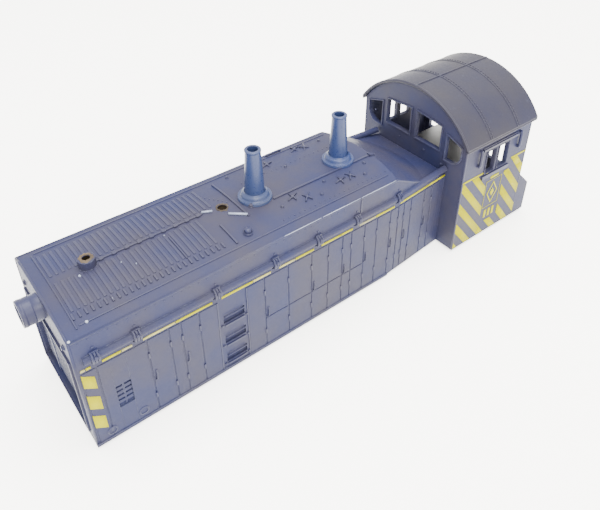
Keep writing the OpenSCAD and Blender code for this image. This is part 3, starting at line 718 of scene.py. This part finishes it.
doors, hinges, brackets = Piece(), Piece(), Piece()
for side in (-1, 1):
    wall = hood_side(side)
    for a, b in zip(DOOR_SEAMS, DOOR_SEAMS[1:]):
        x1, x0 = back(a) - GAP, back(b) + GAP
        if a == FOOTHOLD_DOOR:
            continue
        steps = (3, 1) if x0 < TAPER_X < x1 else (1, 1)
        if SPLIT_FROM < a < SPLIT_TO:
            doors.pad(wall, x0, x1, MID_SEAM_Z + GAP, DOOR_TOP, steps=steps)
            doors.pad(wall, x0, x1, DOOR_FOOT, MID_SEAM_Z - GAP, steps=steps)
        elif a == VENT_DOOR:
            rear, ahead = back(16.7), back(11.0)
            foot, top = SKIRT_Z + 13.5, SKIRT_Z + 25
            doors.pad(wall, x0, rear, DOOR_FOOT, DOOR_TOP)
            doors.pad(wall, ahead, x1, DOOR_FOOT, DOOR_TOP)
            doors.pad(wall, rear, ahead, DOOR_FOOT, foot)
            doors.pad(wall, rear, ahead, top, DOOR_TOP)
            for k in range(4):
                z = foot + 2.4 + k * 2.3
                doors.pad(wall, rear, ahead, z - SLAT_HALF, z + SLAT_HALF, -0.15, VENT_LOW)
            middle = (rear + ahead) / 2
            doors.pad(wall, middle - 0.35, middle + 0.35, foot, top, -0.2, VENT_LOW)
        else:
            doors.pad(wall, x0, x1, DOOR_FOOT, DOOR_TOP, steps=steps)
    for i, seam in enumerate(DOOR_SEAMS[2:-1]):
        x = back(seam)
        if 53 < seam < 67:
            continue
        for z in (SKIRT_Z + 9.5, SKIRT_Z + 31):
            foot = Vector((x, side * (hood_half(x) + 0.2), z - 1.3))
            hinges.lathe(foot, UP, [(0, 0), (0.45, 0.05), (0.45, 2.55), (0, 2.6)], 8)
        if i % 2 == 0:
            handle_z = SKIRT_Z + 20.5
            y = side * (hood_half(x) + 0.35)
            y_out = y + side * 0.35
            handle = [(x - 1.5, y, handle_z + 1.6), (x - 1.5, y_out, handle_z),
                      (x - 1.3, y_out, handle_z - 2.4), (x - 0.6, y, handle_z - 3.0)]
            hinges.tube(handle, 0.32, 6)
            hinges.bolt(wall, x - 1.5, handle_z + 1.6, 0.45, 0.6)
    for distance in BRACKETS:
        x = back(distance)
        brackets.pad(wall, x - 1.5, x + 1.5, RAIL_Z - 2.6, RAIL_Z + 2.9, 0.8)
        y = side * hood_half(x)
        path = []
        for k in range(9):
            t = math.radians(-100 + k * 25)
            path.append((x, y + side * STRAP_R * math.cos(t), RAIL_Z + STRAP_R * math.sin(t)))
        for dx in (-1.0, 0, 1.0):
            brackets.tube([(p[0] + dx, p[1], p[2]) for p in path], 0.55, 8)
        brackets.bolt(strap_face(side), x, RAIL_Z + 0.9, 0.75, 0.9)
        brackets.rivet(wall, x, RAIL_Z + 4.2, 0.5)
    # Foothold pockets: a bar across each, and a ledge with two bolts below it.
    for z in (SKIRT_Z + 7.5, SKIRT_Z + 17.9, SKIRT_Z + 29):
        x1, x0 = back(55.6), back(65)
        hinges.pad(wall, x0 + 0.3, x1 - 0.3, z - 4.3, z - 3.6, 0.6)
        y, y_out = side * (HOOD_HALF + 0.1), side * (HOOD_HALF + 0.5)
        hinges.tube([(x0 + 0.5, y, z + 0.7), (x0 + 0.5, y_out, z + 0.9),
                     (x1 - 0.5, y_out, z + 0.9), (x1 - 0.5, y, z + 0.7)], 0.35, 6)
        for x in (x0 - 0.8, x1 + 0.8):
            hinges.bolt(wall, x, z - 3.6, 0.5, 0.6)
    for seam in DOOR_SEAMS[6:8]:
        hinges.pad(wall, back(seam) - 0.25, back(seam) + 0.25, DOOR_FOOT, DOOR_TOP, 0.3)
    # One vertical seam in the band over the rail, two round plugs and a row of rivets.
    hinges.pad(wall, back(124.9), back(124.3), SKIRT_Z + 46.5, SKIRT_Z + 53.2, 0.3)
    for distance, z in ((19, 5.1), (6.5, 4.4)):
        p, n = wall(back(distance), SKIRT_Z + z)
        hinges.lathe(p, n, [(2.0, -0.1), (2.0, 0.4), (1.5, 0.5), (1.4, 0.15), (0, 0.15)], 20)
    for i in range(34):
        hinges.rivet(wall, back(3 + i * 3.4), SKIRT_Z + 52.4, 0.24)
doors.make("hood_doors", body, bevel=0.1)
hinges.make("hood_hinges_and_latches", trim, bevel=0.08)
brackets.make("rail_brackets", trim, bevel=0.15)

# Yellow pinstripe, broken at the brackets and rubbed in places: the front or the rear run of
# some spans between brackets. Three slanting marks stand at each front corner.
RUBBED_FRONT, RUBBED_REAR = {0, 2, 4, 6}, {1, 3}
STRIPE_HALF = 0.5
bright, rubbed = Piece(), Piece()
for side in (-1, 1):
    wall = hood_side(side)
    stops = [1.4, *BRACKETS, 181.2]
    for i, (a, b) in enumerate(zip(stops, stops[1:])):
        a, b = a + (2.0 if i else 0), b - (2.0 if i < len(BRACKETS) else 0)
        middle = a + (b - a) * (0.62 if i % 2 else 0.45)
        runs = ((a, middle, i in RUBBED_FRONT), (middle + 0.3, b, i in RUBBED_REAR))
        for c, d, worn in runs:
            piece = rubbed if worn else bright
            steps = (3, 1) if d > 140 else (1, 1)
            foot, top = STRIPE_Z - STRIPE_HALF, STRIPE_Z + STRIPE_HALF
            piece.pad(wall, back(d), back(c), foot, top, 0.18, steps=steps)
    for top, foot in ((38.2, 32.1), (27.8, 21.0), (17.1, 10.4)):
        near, far, slant = back(1.2), back(5.4), 3.1
        bright.outline(wall, [(near, SKIRT_Z + top), (far, SKIRT_Z + top - slant),
                              (far, SKIRT_Z + foot - slant), (near, SKIRT_Z + foot)], 0.36)
bright.make("pinstripe_and_corner_marks", yellow, bevel=0)
rubbed.make("rubbed_pinstripe", worn_yellow, bevel=0)

# Front face: frame round the grille, a row of rivets under it and two bolts over it.
front = Piece()
GRILLE_HALF, GRILLE_FOOT, GRILLE_TOP = 21.5, 8, 43
nose = wall_x(FRONT_X, 1)
front.border(nose, rectangle(-GRILLE_HALF, GRILLE_HALF, GRILLE_FOOT, GRILLE_TOP), 0.8, 0.8)
for i in range(15):
    front.rivet(nose, -GRILLE_HALF + 1 + i * 2.93, GRILLE_FOOT - 3.2, 0.35)
for side in (-1, 1):
    front.bolt(nose, side * 19, 48.5, 0.9, 0.9)
front.make("front_frame", trim, bevel=0.12)

# Headlight bezel and stack rings.
lamp = Piece()
LAMP_TOP, LAMP_FOOT = corner("headlight_housing", True).z, corner("headlight_housing", False).z
LAMP_Z, LAMP_R = (LAMP_TOP + LAMP_FOOT) / 2, (LAMP_TOP - LAMP_FOOT) / 2
LAMP_RIM = [(LAMP_R - 0.05, -0.9), (LAMP_R + 0.12, -0.6), (LAMP_R + 0.12, 0.2), (LAMP_R - 0.2, 0.6),
            (LAMP_R - 0.8, 0.55), (LAMP_R - 1.0, -0.4)]
LAMP_SLEEVE = [(LAMP_R - 0.1, -0.4), (LAMP_R - 0.1, 3.2), (LAMP_R - 0.4, 3.5), (LAMP_R - 1.2, 3.5)]
lamp.lathe(Vector((NOSE_X - 0.9, 0, LAMP_Z)), AHEAD, LAMP_RIM, 40)
# A plain sleeve carries the drum back to the hood's front wall.
lamp.lathe(Vector((FRONT_X, 0, LAMP_Z)), AHEAD, LAMP_SLEEVE, 40)
lamp.make("headlight_bezel", trim, bevel=0)

STACK_FOOT = [(7.05, -0.25), (7.15, 0.3), (6.9, 0.65), (5.9, 0.8), (5.75, 1.15), (5.7, 2.3),
              (5.3, 2.75), (4.6, 2.95), (4.4, 3.6)]
STACK_LIP = [(3.15, -1.1), (3.4, -0.7), (3.4, -0.25), (3.15, 0.0), (2.6, 0.02), (2.25, -0.5),
             (2.2, -1.5)]
# The stack rings take the stacks' lighter blue: painted light.
rings = Piece()
for name in ("stack_front", "stack_rear"):
    x = (corner(name, True).x + corner(name, False).x) / 2
    rings.lathe(Vector((x, 0, ROOF_Z + CROWN)), UP, STACK_FOOT, 40)
    rings.lathe(Vector((x, 0, STACK_TOP_Z)), UP, STACK_LIP, 40)
rings.make("stack_rings", glossy_lit_blue, bevel=0)


# Cab.
def mirrored(points):
    return [(-u, v) for u, v in reversed(points)]


CENTRE_WINDOW = [(1.9, 52.6), (17.4, 52.6), (17.4, 65.4), (1.9, 66.9)]
curve = []
for degrees in range(-90, 1, 15):
    a = math.radians(degrees)
    curve.append((24 + 6 * math.cos(a), 55.4 + 6 * math.sin(a)))
OUTER_WINDOW = [(21, 49.4), *curve, (30, 59.8), (21, 62.8)]
REAR_WINDOW = rectangle(13, 28, 28.6, 52.6)
DOOR_WINDOW = rectangle(-5, 5, 41, 52.6)
cab_front, cab_back = wall_x(CAB_FRONT_X, 1), wall_x(CAB_BACK_X, -1)
frames = Piece()
for window in (CENTRE_WINDOW, OUTER_WINDOW):
    frames.border(cab_front, window, 0.65, 0.6)
    frames.border(cab_front, mirrored(window), 0.65, 0.6)
frames.border(cab_back, REAR_WINDOW, 0.6, 0.5)
frames.border(cab_back, mirrored(REAR_WINDOW), 0.6, 0.5)
frames.border(cab_back, DOOR_WINDOW, 0.5, 0.5)
frames.border(cab_back, rectangle(-8.5, 8.5, 27.6, 66), 0.35, 0.35)
SIDE_PANES = ((-88, -81.5), (-97.5, -90.5))
PANE_FOOT, PANE_TOP = 41.2, 53.6
for side in (-1, 1):
    wall = cab_side(side)
    for x0, x1 in SIDE_PANES:
        frames.border(wall, rectangle(x0, x1, PANE_FOOT, PANE_TOP), 0.45, 0.45)
frames.make("window_frames", body, bevel=0.15)

cab_trim = Piece()
for side in (-1, 1):
    wall = cab_side(side)
    # Sill under the windows, hood over them, and two grab rails.
    cab_trim.pad(wall, -99.6, -79.8, PANE_FOOT - 3.0, PANE_FOOT - 1.0, 0.9)
    cab_trim.pad(wall, -103.5, -77.5, PANE_TOP + 1.4, PANE_TOP + 2.6, 1.1)
    cab_trim.pad(wall, -103.5, -77.5, PANE_TOP + 2.6, PANE_TOP + 3.3, 0.6)
    for x in (-75.6, -105):
        y = side * CAB_HALF
        top, foot = SKIRT_Z + 54.6, SKIRT_Z + 46.4
        rail = ((-0.2, foot), (1.0, foot), (1.3, foot + 1), (1.3, top - 1), (1.0, top), (-0.2, top))
        cab_trim.tube([(x, y + side * out, z) for out, z in rail], 0.85, 8)
        for z in (foot, top):
            cab_trim.bolt(wall, x, z, 0.7, 0.6)
    # Corner beads down the cab's edges.
    for x in (CAB_FRONT_X - 0.35, CAB_BACK_X + 0.35):
        y = side * (CAB_HALF - 0.35)
        cab_trim.tube([(x, y, SKIRT_Z + 0.4), (x, y, EAVE_Z - 0.2)], 0.5, 10)
    for i in range(12):
        cab_trim.rivet(wall, CAB_FRONT_X - 2.6 - i * 3.9, EAVE_Z - 1.6, 0.28)
# Studs on the cab's front, and the rear door's knob and hinges.
for y, z, r in ((8.1, 48.3, 0.6), (19.4, 45.9, 0.6), (-25.8, 55.8, 0.5), (-8.1, 48.3, 0.45)):
    cab_trim.rivet(cab_front, y, z, r)
cab_trim.bolt(cab_back, 7, 39, 0.9, 1.3)
for z in (30, 60):
    barrel_profile = [(0, -1.8), (0.55, -1.75), (0.55, 1.75), (0, 1.8)]
    cab_trim.lathe(Vector((CAB_BACK_X - 0.4, -8.6, z)), UP, barrel_profile, 8)
cab_trim.make("cab_trim", trim, bevel=0.15)

# Cab roof: ridge seam, two rivet arcs beside lapped joints, and a rolled edge all round.
ROOF_BACK_X, ROOF_FRONT_X = corner("cab_roof", False).x, corner("cab_roof", True).x
EAVE_ANGLE = math.degrees(math.asin(EAVE_HALF / BARREL_R))
LAPS = (back(196), back(215.6))
top_trim = Piece()
top_trim.pad(barrel, ROOF_BACK_X, ROOF_FRONT_X, -0.55, 0.55, 0.35)
for x in LAPS:
    top_trim.pad(barrel, x - 0.35, x + 0.35, -EAVE_ANGLE, EAVE_ANGLE, 0.22, steps=(1, 48))
    for k in range(-25, 26):
        if k:
            top_trim.rivet(barrel, x - 1.3, k * 2.25, 0.45)
for x in (ROOF_BACK_X + 0.3, ROOF_FRONT_X - 0.3):
    rim_path = []
    for k in range(-24, 25):
        p, n = barrel(x, k * EAVE_ANGLE / 24)
        rim_path.append(p - n * 0.6)
    top_trim.tube(rim_path, 0.75, 10)
for side in (-1, 1):
    p, _ = barrel(0, side * EAVE_ANGLE)
    y, z = p.y - side * 0.35, EAVE_Z + 0.45
    top_trim.tube([(ROOF_BACK_X + 0.3, y, z), (ROOF_FRONT_X - 0.3, y, z)], 0.6, 10)
top_trim.make("cab_roof_trim", faded, bevel=0.08)


def clip(points, axis, limit, keep_above):
    """Cuts a convex outline at one coordinate."""
    kept = []
    for i, p in enumerate(points):
        q = points[(i + 1) % len(points)]
        inside_p = (p[axis] >= limit) == keep_above
        inside_q = (q[axis] >= limit) == keep_above
        if inside_p:
            kept.append(p)
        if inside_p != inside_q:
            t = (limit - p[axis]) / (q[axis] - p[axis])
            kept.append((p[0] + t * (q[0] - p[0]), p[1] + t * (q[1] - p[1])))
    return kept


# Slanting stripes on the cab sides, cut to the clear areas around the plate. A stripe's edge
# has the height its number gives, less slope times the distance behind the hood's front.
STRIPE_SLOPE = 1.22
STRIPE_STEP = 12.2
STRIPE_RISE = 5.7
STRIPE_START = 226.2 - STRIPE_STEP * 2
CAB_START, CAB_END = 182.0, 229.2
# Clear areas: from and to behind the hood's front, then foot and top over the skirt.
FIELD = (
    (CAB_START, 200.3, 0.6, 39.3),
    (213.9, CAB_END, 0.6, 34.3),
    (217.6, CAB_END, 34.3, 40.0),
    (200.3, 213.9, 0.6, 7.7),
)
stripes = Piece()
PAINT = 0.14
for side in (-1, 1):
    wall = cab_side(side)
    for k in range(10):
        upper = STRIPE_START + k * STRIPE_STEP
        lower = upper - STRIPE_RISE
        for s0, s1, z0, z1 in FIELD:
            drop0, drop1 = STRIPE_SLOPE * s0, STRIPE_SLOPE * s1
            shape = [(s0, upper - drop0), (s1, upper - drop1),
                     (s1, lower - drop1), (s0, lower - drop0)]
            shape = clip(shape, 1, z0, True)
            shape = clip(shape, 1, z1, False) if len(shape) > 2 else shape
            if len(shape) > 2:
                stripes.outline(wall, [(back(s), SKIRT_Z + z) for s, z in shape], PAINT, -0.05)
    for s0, s1, z in ((CAB_START - 0.3, 196.5, 40.1), (217.6, CAB_END + 0.2, 40.4)):
        stripes.pad(wall, back(s1), back(s0), SKIRT_Z + z - 0.45, SKIRT_Z + z + 0.45, PAINT)
    stripes.pad(wall, back(209.4), back(203.3), SKIRT_Z + 33.9, SKIRT_Z + 35.3, PAINT)
    plate = rectangle(back(212.4), back(201), SKIRT_Z + 16.7, SKIRT_Z + 32.8)
    stripes.border(wall, plate, 0.175, PAINT, -0.05)
    # A plain lozenge fills the plate, and three plain bars stand under it.
    middle_x, middle_z = back(206.7), SKIRT_Z + 24.8
    outer, inner = [
        [(middle_x - half_x, middle_z), (middle_x, middle_z - half_z),
         (middle_x + half_x, middle_z), (middle_x, middle_z + half_z)]
        for half_x, half_z in ((3.4, 5.6), (1.5, 2.5))
    ]
    stripes.border(wall, outer, 0.55, PAINT, -0.05)
    stripes.outline(wall, inner, PAINT, -0.05)
    for bar in (203.3, 206.3, 209.3):
        stripes.pad(wall, back(bar + 1.6), back(bar), SKIRT_Z + 9.8, SKIRT_Z + 14.6, PAINT)
stripes.make("cab_stripes", yellow, bevel=0)

# Toolbox across the back: lid ribs, four doors with a bolt each, and rivets at the foot.
box = Piece()
LID_FRONT_Z, LID_REAR_Z = corner("rear_toolbox", True).z, SKIRT_Z + 17


def lid(x, y):
    """The toolbox's sloping lid."""
    t = (CAB_BACK_X - x) / (CAB_BACK_X - TAIL_X)
    z = LID_FRONT_Z + (LID_REAR_Z - LID_FRONT_Z) * t
    rise = Vector((-(LID_FRONT_Z - LID_REAR_Z), 0, CAB_BACK_X - TAIL_X)).normalized()
    return Vector((x, y, z)), rise


for y in (-22, 0, 22):
    box.pad(lid, TAIL_X + 0.6, CAB_BACK_X - 0.6, y - 0.6, y + 0.6, 0.4)
tail = wall_x(TAIL_X, -1)
for y in (-25, -8.3, 8.3, 25):
    box.border(tail, rectangle(y - 6.4, y + 6.4, 4.6, 15.4), 0.3, 0.35)
    box.bolt(tail, y, 14.0, 0.7, 0.8)
for i in range(22):
    box.rivet(tail, -31.5 + i * 3, SKIRT_Z + 1.2, 0.3)
box.make("toolbox_trim", trim, bevel=0.12)

# Inside: the coil's winding, the worms' threads and the wheels' hubs.


def helix(axis_point, axis, across, radius, length, turns, steps=14):
    """Points of a helix about an axis that starts at axis_point."""
    axis, across = Vector(axis).normalized(), Vector(across).normalized()
    third = axis.cross(across)
    total = int(turns * steps)
    points = []
    for i in range(total + 1):
        t = 2 * math.pi * i / steps
        out = (across * math.cos(t) + third * math.sin(t)) * radius
        points.append(Vector(axis_point) + axis * (length * i / total) + out)
    return points


coil_low, coil_high = corner("reverser_coil", False), corner("reverser_coil", True)
coil_mid = (coil_low + coil_high) / 2
COIL_FLANGE = 1.4
coil_foot = (coil_mid.x, coil_mid.y, coil_low.z + COIL_FLANGE)
coil_length = coil_high.z - coil_low.z - 2 * COIL_FLANGE
winding = Piece()
winding.tube(helix(coil_foot, UP, AHEAD, 6.45, coil_length, 16), 0.24, 6)
winding.make("coil_winding", FINISHES["copper"], bevel=0)

for end in ("front", "rear"):
    low, high = corner(f"worm_{end}", False), corner(f"worm_{end}", True)
    thread = Piece()
    start = (low.x + 0.5, 0, (low.z + high.z) / 2)
    thread.tube(helix(start, AHEAD, UP, 2.6, high.x - low.x - 1, 4.5, 18), 0.36, 6)
    thread.make(f"worm_thread_{end}", FINISHES["brass"], body="armature", bevel=0)

for body_name in ("drive_front", "drive_rear", "pickup_front", "pickup_rear"):
    kind, end = body_name.split("_")
    stem = f"{kind}_wheel_{end}"
    hubs = Piece()
    for side, hand in ((1, "left"), (-1, "right")):
        low, high = corner(f"{stem}_{hand}", False), corner(f"{stem}_{hand}", True)
        face_y = high.y if side > 0 else low.y
        centre = Vector(((low.x + high.x) / 2, face_y, (low.z + high.z) / 2))
        out = Vector((0, side, 0))
        hubs.lathe(centre - out * 1.6, out, [(4.2, 0), (4.2, 0.5), (3.9, 0.7), (3.4, 0.5)], 28)
        for k in range(6):
            t = math.radians(60 * k + 30)
            spot = centre - out * 1.45 + Vector((math.cos(t), 0, math.sin(t))) * 5.9
            hubs.lathe(spot, out, [(1.0, -0.05), (0.95, 0.3), (0.6, 0.45), (0, 0.2)], 12)
    hubs.make(f"wheel_hubs_{body_name}", FINISHES["zinc_black"], body=body_name, bevel=0)

# Floor, light and camera.
STUDIO_WHITE = (1.0, 0.985, 0.95, 1)
FLOOR_HALF = 6
FLOOR_GLOW, WORLD_STRENGTH = 2.6, 3.0
floor_mesh = bpy.data.meshes.new("floor")
floor_bm = bmesh.new()
bmesh.ops.create_grid(floor_bm, x_segments=1, y_segments=1, size=FLOOR_HALF)
floor_bm.to_mesh(floor_mesh)
floor_bm.free()
floor = bpy.data.objects.new("floor", floor_mesh)
bpy.context.scene.collection.objects.link(floor)
floor_material, floor_nodes, _ = new_material("pale_floor")
floor_shader = floor_nodes["Principled BSDF"]
floor_shader.inputs["Base Color"].default_value = (0.88, 0.87, 0.83, 1)
floor_shader.inputs["Roughness"].default_value = 0.8
# The floor glows a little, so that it stays nearly white around the dark object.
floor_shader.inputs["Emission Color"].default_value = STUDIO_WHITE
floor_shader.inputs["Emission Strength"].default_value = FLOOR_GLOW
floor_mesh.materials.append(floor_material)

world = bpy.data.worlds.new("studio")
bpy.context.scene.world = world
world.use_nodes = True
background = world.node_tree.nodes["Background"]
background.inputs["Color"].default_value = STUDIO_WHITE
background.inputs["Strength"].default_value = WORLD_STRENGTH


def softbox(name, where, aim, size, power):
    """A square area light of a size and distance in metres, and a power in watts."""
    light = bpy.data.lights.new(name, "AREA")
    light.shape = "SQUARE"
    light.size = size
    light.energy = power
    obj = bpy.data.objects.new(name, light)
    bpy.context.scene.collection.objects.link(obj)
    obj.location = where
    obj.rotation_euler = (Vector(aim) - Vector(where)).to_track_quat("-Z", "Y").to_euler()


softbox("key", (0.35, 0.9, 0.75), (0, 0, 0.03), 0.7, 22)
softbox("top", (-0.1, 0.0, 1.2), (0, 0, 0), 1.0, 46)
softbox("fill", (0.9, -0.3, 0.5), (0, 0, 0.03), 0.6, 1)

camera_data = bpy.data.cameras.new("camera")
camera = bpy.data.objects.new("camera", camera_data)
bpy.context.scene.collection.objects.link(camera)
bpy.context.scene.camera = camera
CAMERA_AT = Vector((139.7, 176.3, 212.8))
CAMERA_AIM = Vector((-0.5089, -0.6572, -0.5560))
ROLL = math.radians(-0.19)
view = CAMERA_AIM.to_track_quat("-Z", "Y").to_matrix().to_4x4()
camera.location = CAMERA_AT * MM
camera.rotation_euler = (view @ Matrix.Rotation(ROLL, 4, "Z")).to_euler()
camera_data.lens = 38.15
camera_data.sensor_width = 36
camera_data.shift_y = -0.15
camera_data.clip_start = 0.01
camera_data.clip_end = 20
